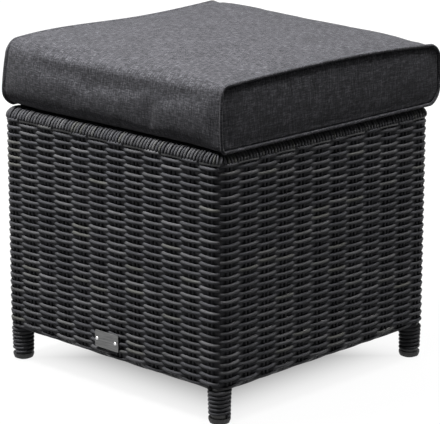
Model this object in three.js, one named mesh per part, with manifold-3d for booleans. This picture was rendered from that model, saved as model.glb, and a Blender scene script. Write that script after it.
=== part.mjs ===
// Outdoor ottoman footstool: a tube frame in a woven skirt, with wound legs and a lift-off cushion.
// Millimetres, +Z up, origin on the floor under the middle, front towards -Y.
import * as THREE from 'three';
import { mergeVertices } from 'three/addons/utils/BufferGeometryUtils.js';
import Module from 'manifold-3d';

const wasm = await Module();
wasm.setup();

// Body
const bodySide = 430;
const deckTop = 369;
const skirtBottom = 49;
const deckCornerRadius = 3.3;
const seatGap = 0.3;
const cutOverrun = 5;

// Weave: weft rows pass over and under the stakes, one row opposite to the next
const skinThickness = 5.6;
const weaveRelief = 1.8;
const weftRows = 56;
const stakesPerSide = 12;
const skirtArchRise = 9;
const cornerSteps = 4;
const rimArcSteps = 5;

// Frame tubes
const tubeRadius = 10.5;
const postRadius = 12;
const tubeWall = 1.5;
const lowerTubeSize = 16;
const lowerTubeRise = 12;
const slatWidth = 20;
const slatHeight = 12;
const slatCount = 3;
const slatSpacing = 108;
const postTopDrop = 15;
const roundSides = 16;

// Feet and leg windings
const footRadius = 15;
const footContactRadius = 9;
const footShoulder = 6;
const footHeight = 9;
const footSpigotLength = 18;
const windingTurns = 6;
const windingWidth = 4.9;
const windingThickness = 3.1;
const windingSteps = 12;

// Badge plate
const badgeWidth = 46;
const badgeHeight = 24;
const badgeThickness = 1.2;
const badgeCentreZ = 74;
const badgeCornerRadius = 2;
const badgeScrewInset = 5;
const badgeHoleRadius = 1.4;
const screwHeadRadius = 2.6;
const screwHeadHeight = 1.4;
const screwDomeShares = [0.8, 0.7];

// Cushion
const cushionSetbackX = 5;
const cushionOverhangY = 2.5;
const cushionShiftX = 1.5;
const cushionShiftY = 7.5;
const cushionEdgeHeight = 89;
const cushionCrown = 12;
const cushionEndBow = 5;
const cushionCornerRise = 10;
const cushionPullIn = 2;
const cushionBulge = 3;
const cushionTopRadius = 27;
const cushionEndTopRadius = 18;
const cushionBottomRadius = 17;
const coverThickness = 2;
const pipingRadius = 2.8;
const endSwell = 3;
const endRingShares = [1, 0.7, 0.35];
const cushionStations = 10;
const cornerPoints = 4;
const flatPoints = 4;
const pipingSides = 6;

// Zip on the back of the cushion
const zipSetback = 26;
const zipHeight = 8;
const zipThickness = 1.2;
const zipRise = 30;
const zipStations = 8;
const sliderLength = 10;
const sliderHeight = 7;
const sliderThickness = 1.8;
const lugWidth = 1.6;
const lugReach = 2.8;
const lugHeight = 3.6;
const pullPinRadius = 0.6;
const pullClearance = 0.3;
const pullEarWidth = 1.2;
const pullLength = 24;
const pullThickness = 1;

// Places worked out from the sizes above
const half = bodySide / 2;
const rimRadius = tubeRadius + seatGap + skinThickness;
const bodyCornerRadius = rimRadius + seatGap + deckCornerRadius;
const flatHalf = half - bodyCornerRadius;
const cushionHalfX = half - cushionSetbackX;
const cushionHalfY = half + cushionOverhangY;
const zipHalfLength = cushionHalfX - zipSetback;
const innerCornerRadius = bodyCornerRadius - skinThickness;
const rimLine = deckTop - rimRadius;
const upperTubeY = half - rimRadius;
const innerCornerReach = innerCornerRadius * Math.cos(Math.PI / 4 / cornerSteps);
const postOffset = (innerCornerReach - seatGap - postRadius) / Math.SQRT2;
const postCentre = flatHalf + postOffset;
const postTop = deckTop - postTopDrop;
const lowerTubeY = half - skinThickness - seatGap - lowerTubeSize / 2;
const lowerTubeZ = skirtBottom + lowerTubeRise + lowerTubeSize / 2;
const deckUnderside = deckTop - skinThickness;
const cushionBottom = deckTop + seatGap;

// Looks
function finish(color, roughness, metalness) {
  return new THREE.MeshStandardMaterial({ color, roughness, metalness });
}
const weaveFinish = finish(0x2c2c2e, 0.5, 0);
const frameFinish = finish(0x1d1d1f, 0.45, 0.6);
const plasticFinish = finish(0x131314, 0.6, 0);
const fabricFinish = finish(0x4b4b4f, 0.95, 0);
const foamFinish = finish(0xd8d2c0, 0.95, 0);
const metalFinish = finish(0x8d8d90, 0.4, 0.9);

const ottoman = new THREE.Group();

function addNode(name, geometry, material, turn = 0) {
  const mesh = new THREE.Mesh(geometry, material);
  mesh.name = name;
  mesh.rotation.z = turn;
  ottoman.add(mesh);
}

// The cushion lies a little to the right and the back on its base.
function addCushionNode(name, geometry, material) {
  geometry.translate(cushionShiftX, cushionShiftY, 0);
  addNode(name, geometry, material);
}

// Booleans
function solidOf(geometry) {
  const bare = new THREE.BufferGeometry();
  bare.setAttribute('position', geometry.getAttribute('position'));
  if (geometry.index) bare.setIndex(geometry.index);
  const merged = mergeVertices(bare);
  return new wasm.Manifold(new wasm.Mesh({
    numProp: 3,
    vertProperties: merged.attributes.position.array,
    triVerts: new Uint32Array(merged.index.array),
  }));
}

function geometryOf(solid) {
  const mesh = solid.getMesh();
  const geometry = new THREE.BufferGeometry();
  geometry.setAttribute('position', new THREE.BufferAttribute(mesh.vertProperties, 3));
  geometry.setIndex(new THREE.BufferAttribute(mesh.triVerts, 1));
  return geometry;
}

// A cylinder about Z from low to high.
function postSolid(radius, low, high, x, y) {
  const geometry = new THREE.CylinderGeometry(radius, radius, high - low, roundSides);
  geometry.rotateX(Math.PI / 2);
  geometry.translate(x, y, (low + high) / 2);
  return solidOf(geometry);
}

// A cylinder about X through (0, y, z).
function railSolid(radius, length, y, z) {
  const geometry = new THREE.CylinderGeometry(radius, radius, length, roundSides);
  geometry.rotateZ(Math.PI / 2);
  geometry.translate(0, y, z);
  return solidOf(geometry);
}

function boxSolid(sizeX, sizeY, sizeZ, x, y, z) {
  const geometry = new THREE.BoxGeometry(sizeX, sizeY, sizeZ);
  geometry.translate(x, y, z);
  return solidOf(geometry);
}

// Triangles for a list of points, kept as one indexed mesh.
class Skin {
  constructor() {
    this.points = [];
    this.faces = [];
  }

  point(p) {
    return this.points.push(p) - 1;
  }

  grid(columns, rows, place) {
    const ids = [];
    for (let column = 0; column <= columns; column++) {
      ids.push([]);
      for (let row = 0; row <= rows; row++) ids[column].push(this.point(place(column, row)));
    }
    return ids;
  }

  quad(a, b, c, d) {
    this.faces.push(a, b, c, a, c, d);
  }

  // Joins two lines of points of one length. Turned, it faces the other way along the same diagonals.
  strip(first, second, turned = false) {
    for (let i = 0; i + 1 < first.length; i++) {
      if (turned) this.quad(first[i], second[i], second[i + 1], first[i + 1]);
      else this.quad(first[i], first[i + 1], second[i + 1], second[i]);
    }
  }

  // Joins a line of many points to the line between two end points.
  fan(line, startPoint, endPoint) {
    const middle = Math.floor(line.length / 2);
    for (let i = 0; i + 1 < line.length; i++) {
      this.faces.push(line[i], line[i + 1], i < middle ? startPoint : endPoint);
    }
    this.faces.push(line[middle], endPoint, startPoint);
  }

  geometry() {
    const geometry = new THREE.BufferGeometry();
    const places = this.points.flatMap((p) => p.toArray());
    geometry.setAttribute('position', new THREE.Float32BufferAttribute(places, 3));
    geometry.setIndex(this.faces);
    if (solidOf(geometry).volume() < 0) {
      const turned = [];
      for (let i = 0; i < this.faces.length; i += 3) {
        turned.push(this.faces[i], this.faces[i + 2], this.faces[i + 1]);
      }
      geometry.setIndex(turned);
    }
    return geometry;
  }
}

// A thick patch between an outer and an inner grid of the same count.
function thickPatch(columns, rows, outer, inner) {
  const skin = new Skin();
  const out = skin.grid(columns, rows, outer);
  const into = skin.grid(columns, rows, inner);
  for (let c = 0; c < columns; c++) skin.strip(out[c], out[c + 1]);
  for (let c = 0; c < columns; c++) skin.strip(into[c + 1], into[c]);
  const line = (ids, row) => ids.map((column) => column[row]);
  skin.strip(into[0], out[0]);
  skin.strip(out[columns], into[columns]);
  skin.strip(line(out, 0), line(into, 0));
  skin.strip(line(into, rows), line(out, rows));
  return skin.geometry();
}

// A woven patch: its outer face has a point at each crossing, and its inner face is plain.
function wovenPatch(columns, outer, inner) {
  const skin = new Skin();
  const out = skin.grid(columns, weftRows, outer);
  const into = skin.grid(columns, 1, (column, end) => inner(column, end * weftRows));
  for (let c = 0; c < columns; c++) skin.strip(out[c], out[c + 1]);
  for (let c = 0; c < columns; c++) skin.strip(into[c + 1], into[c]);
  const line = (ids, row) => ids.map((column) => column[row]);
  skin.fan([...out[0]].reverse(), into[0][1], into[0][0]);
  skin.fan(out[columns], into[columns][0], into[columns][1]);
  skin.strip(line(out, 0), line(into, 0));
  skin.strip(line(into, 1), line(out, weftRows));
  return skin.geometry();
}

// Weave walls and corners
const crossing = (stake, row) => ((stake + row) % 2 === 0 ? weaveRelief : -weaveRelief);
const ease = (t) => t * t * (3 - 2 * t);

// The skirt's lower edge: straight at the front and back, a flat elliptical arch at the sides.
function skirtLine(along, rise) {
  return skirtBottom + rise * Math.sqrt(1 - (along / flatHalf) ** 2);
}

function wallGeometry(rise) {
  const reach = flatHalf - seatGap / 2;
  const columns = stakesPerSide - 1;
  const faceY = -half + weaveRelief;
  const place = (column, row, y) => {
    const x = -reach + (2 * reach * column) / columns;
    const low = skirtLine(x, rise);
    return new THREE.Vector3(x, y, low + ((rimLine - seatGap - low) * row) / weftRows);
  };
  const innerY = -half + skinThickness;
  return wovenPatch(
    columns,
    (column, row) => place(column, row, faceY - crossing(column, row)),
    (column, row) => place(column, row, innerY),
  );
}

function cornerGeometry() {
  const slack = seatGap / 2 / bodyCornerRadius;
  const span = Math.PI / 2 - 2 * slack;
  const place = (column, row, radius) => {
    const angle = -Math.PI / 2 + slack + (span * column) / cornerSteps;
    const z = skirtBottom + ((rimLine - seatGap - skirtBottom) * row) / weftRows;
    return new THREE.Vector3(flatHalf + radius * Math.cos(angle), -flatHalf + radius * Math.sin(angle), z);
  };
  const faceRadius = bodyCornerRadius - weaveRelief;
  const lastStake = stakesPerSide - 1;
  const height = (column, row) => {
    const share = column / cornerSteps;
    return crossing(lastStake, row) * (1 - share) + crossing(lastStake + 1, row) * share;
  };
  return wovenPatch(
    cornerSteps,
    (column, row) => place(column, row, faceRadius + height(column, row)),
    (column, row) => place(column, row, innerCornerRadius),
  );
}

// The rim rolls from the wall over the upper tube to the deck.
function rimGeometry() {
  const reach = flatHalf - seatGap / 2;
  const place = (column, row, radius) => {
    const angle = (Math.PI / 2) * (row / rimArcSteps);
    const y = -upperTubeY - radius * Math.cos(angle);
    return new THREE.Vector3(-reach + 2 * reach * column, y, rimLine + radius * Math.sin(angle));
  };
  return thickPatch(
    1,
    rimArcSteps,
    (column, row) => place(column, row, rimRadius),
    (column, row) => place(column, row, rimRadius - skinThickness),
  );
}

function rimCornerGeometry() {
  const slack = seatGap / 2 / (bodyCornerRadius - rimRadius);
  const span = Math.PI / 2 - 2 * slack;
  const place = (column, row, radius) => {
    const turn = -Math.PI / 2 + slack + (span * column) / cornerSteps;
    const angle = (Math.PI / 2) * (row / rimArcSteps);
    const out = bodyCornerRadius - rimRadius + radius * Math.cos(angle);
    const z = rimLine + radius * Math.sin(angle);
    return new THREE.Vector3(flatHalf + out * Math.cos(turn), -flatHalf + out * Math.sin(turn), z);
  };
  return thickPatch(
    cornerSteps,
    rimArcSteps,
    (column, row) => place(column, row, rimRadius),
    (column, row) => place(column, row, rimRadius - skinThickness),
  );
}

function deckGeometry() {
  const outline = new THREE.Shape();
  for (let corner = 0; corner < 4; corner++) {
    const start = (corner * Math.PI) / 2;
    const signX = corner === 0 || corner === 3 ? 1 : -1;
    const signY = corner < 2 ? 1 : -1;
    outline.absarc(signX * flatHalf, signY * flatHalf, deckCornerRadius, start, start + Math.PI / 2);
  }
  const geometry = new THREE.ExtrudeGeometry(outline, {
    depth: skinThickness, bevelEnabled: false, curveSegments: cornerSteps,
  });
  geometry.translate(0, 0, deckUnderside);
  return geometry;
}

// Frame
function postGeometry() {
  const outside = postSolid(postRadius, footHeight + seatGap, postTop, postCentre, -postCentre);
  const bore = postSolid(postRadius - tubeWall, -cutOverrun, postTop + cutOverrun, postCentre, -postCentre);
  return geometryOf(outside.subtract(bore));
}

function fishMouth(solid) {
  let cut = solid;
  for (const side of [-1, 1]) {
    const top = deckTop + cutOverrun;
    cut = cut.subtract(postSolid(postRadius + seatGap, 0, top, side * postCentre, -postCentre));
  }
  return cut;
}

function upperTubeGeometry() {
  const length = 2 * flatHalf;
  const bore = railSolid(tubeRadius - tubeWall, length + cutOverrun, -upperTubeY, rimLine);
  return geometryOf(fishMouth(railSolid(tubeRadius, length, -upperTubeY, rimLine).subtract(bore)));
}

function lowerTubeGeometry() {
  const length = 2 * flatHalf;
  const inside = lowerTubeSize - 2 * tubeWall;
  const outside = boxSolid(length, lowerTubeSize, lowerTubeSize, 0, -lowerTubeY, lowerTubeZ);
  const bore = boxSolid(length + cutOverrun, inside, inside, 0, -lowerTubeY, lowerTubeZ);
  return geometryOf(fishMouth(outside.subtract(bore)));
}

function slatGeometry(x) {
  const length = 2 * (upperTubeY - tubeRadius / 2);
  const z = deckUnderside - seatGap - slatHeight / 2;
  let slat = boxSolid(slatWidth, length, slatHeight, x, 0, z);
  const insideWidth = slatWidth - 2 * tubeWall;
  slat = slat.subtract(boxSolid(insideWidth, length + cutOverrun, slatHeight - 2 * tubeWall, x, 0, z));
  for (const side of [-1, 1]) {
    slat = slat.subtract(railSolid(tubeRadius + seatGap, bodySide, side * upperTubeY, rimLine));
  }
  return geometryOf(slat);
}

// Feet and windings
function footGeometry() {
  const spigotRadius = postRadius - tubeWall - seatGap;
  const profile = [
    [0, 0],
    [footContactRadius, 0],
    [(footContactRadius + footRadius) / 2 + footShoulder / 4, footShoulder / 3],
    [footRadius, footShoulder],
    [footRadius, footHeight],
    [spigotRadius, footHeight],
    [spigotRadius, footHeight + footSpigotLength],
    [0, footHeight + footSpigotLength],
  ].map(([radius, z]) => new THREE.Vector2(radius, z));
  const geometry = new THREE.LatheGeometry(profile, roundSides);
  geometry.rotateX(Math.PI / 2);
  geometry.translate(postCentre, -postCentre, 0);
  return geometry;
}

function windingPath() {
  const radius = postRadius + seatGap;
  const start = footHeight + seatGap + windingWidth / 2;
  const end = skirtBottom - seatGap - windingWidth / 2;
  const path = [];
  for (let i = 0; i <= windingTurns * windingSteps; i++) {
    const turn = (2 * Math.PI * i) / windingSteps;
    const ahead = new THREE.Vector3(-Math.sin(turn), Math.cos(turn), 0);
    const out = new THREE.Vector3(Math.cos(turn), Math.sin(turn), 0);
    const at = out.clone().multiplyScalar(radius / Math.cos(Math.PI / windingSteps));
    at.z = start + ((end - start) * i) / (windingTurns * windingSteps);
    path.push({ at, out, ahead });
  }
  const first = path[0];
  const last = path[path.length - 1];
  const stub = (end, way) => {
    const at = end.at.clone().addScaledVector(end.ahead, way * windingWidth);
    return { ...end, at };
  };
  return [stub(first, -1), ...path, stub(last, 1)];
}

function windingGeometry() {
  const sectionShares = [
    [0, -1 / 2],
    [2 / 3, -1 / 2],
    [1, 0],
    [2 / 3, 1 / 2],
    [0, 1 / 2],
  ];
  const rings = windingPath().map(({ at, out }) => sectionShares.map(([outShare, upShare]) => {
    const p = at.clone().addScaledVector(out, outShare * windingThickness);
    p.z += upShare * windingWidth;
    return p;
  }));
  const skin = new Skin();
  const ids = rings.map((ring) => ring.map((p) => skin.point(p)));
  for (let i = 0; i + 1 < ids.length; i++) {
    skin.strip([...ids[i], ids[i][0]], [...ids[i + 1], ids[i + 1][0]]);
  }
  const cap = (ring) => {
    for (let i = 1; i + 1 < ring.length; i++) skin.faces.push(ring[0], ring[i + 1], ring[i]);
  };
  cap(ids[0]);
  cap([...ids[ids.length - 1]].reverse());
  const geometry = skin.geometry();
  geometry.translate(postCentre, -postCentre, 0);
  return geometry;
}

// The least gap between turns, measured on the points of the section's two edges.
function windingGap() {
  const path = windingPath();
  let least = Infinity;
  path.forEach((low, i) => path.slice(i + windingSteps - 1).forEach((high) => {
    const across = Math.hypot(low.at.x - high.at.x, low.at.y - high.at.y);
    const rise = Math.max(0, high.at.z - low.at.z - windingWidth);
    least = Math.min(least, Math.hypot(across, rise));
  }));
  return least;
}

// Badge
function badgeGeometry() {
  const w = badgeWidth / 2;
  const h = badgeHeight / 2;
  const r = badgeCornerRadius;
  const outline = new THREE.Shape();
  outline.absarc(w - r, h - r, r, 0, Math.PI / 2);
  outline.absarc(r - w, h - r, r, Math.PI / 2, Math.PI);
  outline.absarc(r - w, r - h, r, Math.PI, 1.5 * Math.PI);
  outline.absarc(w - r, r - h, r, 1.5 * Math.PI, 2 * Math.PI);
  for (const side of [-1, 1]) {
    const hole = new THREE.Path();
    hole.absarc(side * (w - badgeScrewInset), 0, badgeHoleRadius, 0, 2 * Math.PI, true);
    outline.holes.push(hole);
  }
  const geometry = new THREE.ExtrudeGeometry(outline, {
    depth: badgeThickness, bevelEnabled: false, curveSegments: 3,
  });
  geometry.rotateX(Math.PI / 2);
  geometry.translate(0, -half - seatGap, badgeCentreZ);
  return geometry;
}

function screwGeometry(side) {
  const profile = [
    [0, -seatGap],
    [badgeHoleRadius - seatGap, -seatGap],
    [badgeHoleRadius - seatGap, badgeThickness + seatGap],
    [screwHeadRadius, badgeThickness + seatGap],
    [screwHeadRadius * screwDomeShares[0], badgeThickness + seatGap + screwHeadHeight * screwDomeShares[1]],
    [0, badgeThickness + seatGap + screwHeadHeight],
  ].map(([radius, out]) => new THREE.Vector2(radius, out));
  const geometry = new THREE.LatheGeometry(profile, roundSides / 2);
  geometry.rotateX(Math.PI);
  geometry.translate(side * (badgeWidth / 2 - badgeScrewInset), -half - seatGap, badgeCentreZ);
  return geometry;
}

// Cushion: one rounded section, higher in the middle and at the back left corner, and drawn in along its
// sides, with tighter edges at its ends. The lift raises the underside alone, for what must clear the deck.
function cushionSection(x, inset, lift = inset) {
  const along = 1 - (x / cushionHalfX) ** 2;
  const halfY = cushionHalfY - cushionPullIn * along - inset;
  const bow = cushionEndBow + (cushionCrown - cushionEndBow) * along;
  const cornerShare = (1 - x / cushionHalfX) / 2;
  const low = cushionBottom + lift;
  const high = cushionBottom + cushionEdgeHeight - inset;
  const section = [];
  const push = (y, z) => section.push([y, z]);
  const arc = (signY, centreZ, radius, from) => {
    for (let i = 0; i <= cornerPoints; i++) {
      const angle = from + ((Math.PI / 2) * i) / cornerPoints;
      push(signY * (halfY - radius) + radius * Math.cos(angle), centreZ + radius * Math.sin(angle));
    }
  };
  const topRadius = cushionEndTopRadius + (cushionTopRadius - cushionEndTopRadius) * along - inset;
  const bottomRadius = cushionBottomRadius - inset;
  arc(1, high - topRadius, topRadius, 0);
  for (let i = 1; i < flatPoints; i++) push((halfY - topRadius) * (1 - (2 * i) / flatPoints), high);
  arc(-1, high - topRadius, topRadius, Math.PI / 2);
  arc(-1, low + bottomRadius, bottomRadius, Math.PI);
  for (let i = 1; i < flatPoints; i++) push((bottomRadius - halfY) * (1 - (2 * i) / flatPoints), low);
  arc(1, low + bottomRadius, bottomRadius, 1.5 * Math.PI);
  return section.map(([y, z]) => {
    const height = (z - cushionBottom) / cushionEdgeHeight;
    const across = 1 - (y / cushionHalfY) ** 2;
    const swell = cushionBulge * 4 * height * (1 - height) * Math.abs(y / cushionHalfY) ** 4;
    const corner = cushionCornerRise * cornerShare * Math.max(0, y / cushionHalfY) ** 2;
    const raised = (bow * across + corner) * ease(Math.min(1, Math.max(0, height)));
    return new THREE.Vector3(x, y + Math.sign(y) * swell, z + raised);
  });
}

const stationX = (index, count, reach) => -reach + (2 * reach * index) / count;

// Rings of the section at each station, joined along X. A ring is closed on itself.
function cushionRings(skin, inset, reach) {
  const rings = [];
  for (let i = 0; i <= cushionStations; i++) {
    const ring = cushionSection(stationX(i, cushionStations, reach), inset).map((p) => skin.point(p));
    rings.push([...ring, ring[0]]);
  }
  return rings;
}

function coverGeometry() {
  const skin = new Skin();
  const out = cushionRings(skin, 0, cushionHalfX);
  const into = cushionRings(skin, coverThickness, cushionHalfX);
  for (let i = 0; i < cushionStations; i++) {
    skin.strip(out[i], out[i + 1]);
    skin.strip(into[i], into[i + 1], true);
  }
  skin.strip(into[0], out[0]);
  skin.strip(out[cushionStations], into[cushionStations]);
  return skin.geometry();
}

function capRing(skin, ring, x, turned) {
  const centre = new THREE.Vector3();
  const open = ring.slice(0, -1);
  open.forEach((id) => centre.add(skin.points[id]));
  centre.divideScalar(open.length);
  centre.x = x;
  const middle = skin.point(centre);
  for (let i = 0; i + 1 < ring.length; i++) {
    skin.faces.push(middle, ring[turned ? i + 1 : i], ring[turned ? i : i + 1]);
  }
}

function foamGeometry() {
  const skin = new Skin();
  const rings = cushionRings(skin, coverThickness + seatGap, cushionHalfX);
  for (let i = 0; i < cushionStations; i++) skin.strip(rings[i], rings[i + 1]);
  capRing(skin, rings[0], -cushionHalfX, true);
  capRing(skin, rings[cushionStations], cushionHalfX, false);
  return skin.geometry();
}

// An end panel swells from its piping to its middle, in rings drawn in towards the centre.
function endPanelGeometry(side) {
  const inset = coverThickness / 2 + pipingRadius + seatGap;
  const edge = cushionSection(side * cushionHalfX, inset, 2 * pipingRadius + seatGap);
  const centre = edge.reduce((sum, p) => sum.add(p), new THREE.Vector3()).divideScalar(edge.length);
  const skin = new Skin();
  const ringAt = (share, depth) => {
    const x = cushionHalfX + seatGap + depth + endSwell * (1 - share ** 2);
    const ring = edge.map((p) => skin.point(centre.clone().lerp(p, share).setX(side * x)));
    return [...ring, ring[0]];
  };
  const into = endRingShares.map((share) => ringAt(share, 0));
  const out = endRingShares.map((share) => ringAt(share, coverThickness));
  skin.strip(into[0], out[0]);
  for (let i = 0; i + 1 < out.length; i++) {
    skin.strip(out[i], out[i + 1]);
    skin.strip(into[i], into[i + 1], true);
  }
  const middle = cushionHalfX + seatGap + endSwell;
  capRing(skin, into[into.length - 1], side * middle, true);
  capRing(skin, out[out.length - 1], side * (middle + coverThickness), false);
  return skin.geometry();
}

function pipingGeometry(side) {
  const line = cushionSection(side * cushionHalfX, coverThickness / 2, pipingRadius);
  const x = side * (cushionHalfX + seatGap + pipingRadius);
  const skin = new Skin();
  const ids = line.map((p, i) => {
    const before = line[(i + line.length - 1) % line.length];
    const after = line[(i + 1) % line.length];
    const out = new THREE.Vector3(0, after.z - before.z, before.y - after.y).normalize();
    const ring = [];
    for (let s = 0; s < pipingSides; s++) {
      const angle = (2 * Math.PI * (s + 1 / 2)) / pipingSides;
      const at = new THREE.Vector3(x + pipingRadius * Math.cos(angle), p.y, p.z);
      ring.push(skin.point(at.addScaledVector(out, pipingRadius * Math.sin(angle))));
    }
    return [...ring, ring[0]];
  });
  ids.forEach((ring, i) => skin.strip(ring, ids[(i + 1) % ids.length]));
  return skin.geometry();
}

// Zip
const zipCentreZ = cushionBottom + zipRise;

// How far back the cover's back face stands at a place on it.
function coverBack(x, z) {
  const along = 1 - (x / cushionHalfX) ** 2;
  const height = (z - cushionBottom) / cushionEdgeHeight;
  return cushionHalfY - cushionPullIn * along + cushionBulge * 4 * height * (1 - height);
}

function zipGeometry() {
  const place = (column, row, out) => {
    const x = stationX(column, zipStations, zipHalfLength);
    const z = zipCentreZ + zipHeight * (row - 1 / 2);
    return new THREE.Vector3(x, coverBack(x, z) + out, z);
  };
  return thickPatch(
    zipStations,
    1,
    (column, row) => place(column, row, seatGap + zipThickness),
    (column, row) => place(column, row, seatGap),
  );
}

const sliderX = zipHalfLength - sliderLength;
const sliderBack = coverBack(zipHalfLength, zipCentreZ) + 2 * seatGap + zipThickness;
const pinY = sliderBack + sliderThickness + lugReach / 2;
const pinZ = zipCentreZ;

function pinSolid(radius, length) {
  const geometry = new THREE.CylinderGeometry(radius, radius, length, roundSides / 2);
  geometry.rotateZ(Math.PI / 2);
  geometry.translate(sliderX, pinY, pinZ);
  return solidOf(geometry);
}

function sliderGeometry() {
  const outline = new THREE.Shape();
  const w = sliderLength / 2;
  const h = sliderHeight / 2;
  outline.moveTo(-w, -h / 2);
  outline.quadraticCurveTo(-w / 4, -h, w, -h);
  outline.lineTo(w, h);
  outline.quadraticCurveTo(-w / 4, h, -w, h / 2);
  const plate = new THREE.ExtrudeGeometry(outline, {
    depth: sliderThickness, bevelEnabled: false, curveSegments: 4,
  });
  plate.rotateX(Math.PI / 2);
  plate.translate(sliderX, sliderBack + sliderThickness, zipCentreZ);
  const lugY = sliderBack + sliderThickness + lugReach / 2 - seatGap / 2;
  const lug = boxSolid(lugWidth, lugReach + seatGap, lugHeight, sliderX, lugY, pinZ);
  const hole = pinSolid(pullPinRadius + pullClearance, lugWidth + cutOverrun);
  return geometryOf(solidOf(plate).add(lug).subtract(hole));
}

function pullGeometry() {
  const earX = lugWidth / 2 + pullClearance + pullEarWidth / 2;
  const width = lugWidth + 2 * (pullClearance + pullEarWidth);
  const earDrop = lugHeight;
  let pull = pinSolid(pullPinRadius, width);
  for (const side of [-1, 1]) {
    const x = sliderX + side * earX;
    const earLength = earDrop + pullThickness;
    pull = pull.add(boxSolid(pullEarWidth, pullThickness, earLength, x, pinY, pinZ - earDrop / 2));
  }
  const tabLength = pullLength - earDrop;
  const tab = boxSolid(width, pullThickness, tabLength, sliderX, pinY, pinZ - earDrop - tabLength / 2);
  return geometryOf(pull.add(tab));
}

// The assembly. A side or corner is drawn at the front, or the front right, and turned into place.
const sides = [['front', 0, 0], ['right', 1, skirtArchRise], ['back', 2, 0], ['left', 3, skirtArchRise]];
for (const [name, quarter, rise] of sides) {
  const turn = (quarter * Math.PI) / 2;
  addNode(`weave_${name}`, wallGeometry(rise), weaveFinish, turn);
  addNode(`rim_${name}`, rimGeometry(), weaveFinish, turn);
  addNode(`upper_tube_${name}`, upperTubeGeometry(), frameFinish, turn);
  addNode(`lower_tube_${name}`, lowerTubeGeometry(), frameFinish, turn);
}
['front_right', 'back_right', 'back_left', 'front_left'].forEach((name, quarter) => {
  const turn = (quarter * Math.PI) / 2;
  addNode(`weave_corner_${name}`, cornerGeometry(), weaveFinish, turn);
  addNode(`rim_corner_${name}`, rimCornerGeometry(), weaveFinish, turn);
  addNode(`post_${name}`, postGeometry(), frameFinish, turn);
  addNode(`foot_${name}`, footGeometry(), plasticFinish, turn);
  addNode(`leg_winding_${name}`, windingGeometry(), weaveFinish, turn);
});
for (let i = 0; i < slatCount; i++) {
  addNode(`deck_slat_${i + 1}`, slatGeometry((i - (slatCount - 1) / 2) * slatSpacing), frameFinish);
}
addNode('deck_weave', deckGeometry(), weaveFinish);
addNode('badge_plate', badgeGeometry(), metalFinish);
addNode('badge_screw_left', screwGeometry(-1), metalFinish);
addNode('badge_screw_right', screwGeometry(1), metalFinish);
addCushionNode('cushion_foam', foamGeometry(), foamFinish);
addCushionNode('cushion_cover', coverGeometry(), fabricFinish);
for (const [name, side] of [['left', -1], ['right', 1]]) {
  addCushionNode(`cushion_end_${name}`, endPanelGeometry(side), fabricFinish);
  addCushionNode(`cushion_piping_${name}`, pipingGeometry(side), fabricFinish);
}
addCushionNode('zip_chain', zipGeometry(), plasticFinish);
addCushionNode('zip_slider', sliderGeometry(), metalFinish);
addCushionNode('zip_pull', pullGeometry(), metalFinish);

// The origin goes under the middle of the whole, the cushion included.
const middle = new THREE.Box3().setFromObject(ottoman, true).getCenter(new THREE.Vector3());
for (const mesh of ottoman.children) mesh.position.set(-middle.x, -middle.y, 0);

console.log(`least gap between the turns of a leg winding: ${windingGap().toFixed(2)} mm`);

export default ottoman;
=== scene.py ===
"""Outdoor ottoman footstool: a woven skirt of half-round resin strands, wound legs and a box
cushion with piped ends. Metres, +Z up, the side with the badge plate facing -Y."""
import math

import bmesh
import bpy
import numpy as np
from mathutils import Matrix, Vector
from mathutils.bvhtree import BVHTree

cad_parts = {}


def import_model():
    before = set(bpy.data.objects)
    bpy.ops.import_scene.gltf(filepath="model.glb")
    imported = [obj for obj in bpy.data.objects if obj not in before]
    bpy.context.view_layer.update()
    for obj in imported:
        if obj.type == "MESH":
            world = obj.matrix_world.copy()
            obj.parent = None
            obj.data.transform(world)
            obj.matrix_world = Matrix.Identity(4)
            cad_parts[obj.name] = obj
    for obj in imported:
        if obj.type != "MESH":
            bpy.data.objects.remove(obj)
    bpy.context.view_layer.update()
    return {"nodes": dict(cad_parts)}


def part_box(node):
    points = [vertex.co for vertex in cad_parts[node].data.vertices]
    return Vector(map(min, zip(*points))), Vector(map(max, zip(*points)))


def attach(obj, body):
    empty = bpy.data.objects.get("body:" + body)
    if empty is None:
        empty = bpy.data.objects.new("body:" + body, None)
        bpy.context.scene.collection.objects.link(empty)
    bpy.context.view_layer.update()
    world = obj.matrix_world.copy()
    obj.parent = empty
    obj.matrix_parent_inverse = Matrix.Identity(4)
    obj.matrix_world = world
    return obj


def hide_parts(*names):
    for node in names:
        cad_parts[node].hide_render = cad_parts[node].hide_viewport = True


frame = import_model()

# Anticlockwise from the front. Each side is followed by the corner of the same number.
SIDES = ["front", "right", "back", "left"]
CORNERS = ["front_right", "back_right", "back_left", "front_left"]

# The origin is under the middle of the whole. The skirt and the cushion are each drawn about
# their own middle.
BODY_MIDDLE = Vector((
    (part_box("weave_left")[0].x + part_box("weave_right")[1].x) / 2,
    (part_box("weave_front")[0].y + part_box("weave_back")[1].y) / 2, 0))
COVER_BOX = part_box("cushion_cover")
CUSHION_MIDDLE = Vector((
    (COVER_BOX[0].x + COVER_BOX[1].x) / 2, (COVER_BOX[0].y + COVER_BOX[1].y) / 2, 0))
NO_MIDDLE = Vector((0, 0, 0))


def box(node, middle=BODY_MIDDLE):
    return tuple(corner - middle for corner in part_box(node))


# Frame sizes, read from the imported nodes
WALL_LOW, _ = box("weave_front")
CORNER_LOW, _ = box("weave_corner_front_right")
SIDE_LOW, _ = box("weave_right")
_, DECK_HIGH = box("deck_weave")
RIM_LOW, _ = box("rim_front")
COVER_LOW, COVER_HIGH = box("cushion_cover", CUSHION_MIDDLE)
PIPING_LOW, PIPING_HIGH = box("cushion_piping_right", CUSHION_MIDDLE)
ZIP_LOW, ZIP_HIGH = box("zip_chain", CUSHION_MIDDLE)
BADGE_LOW, BADGE_HIGH = box("badge_plate")

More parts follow.
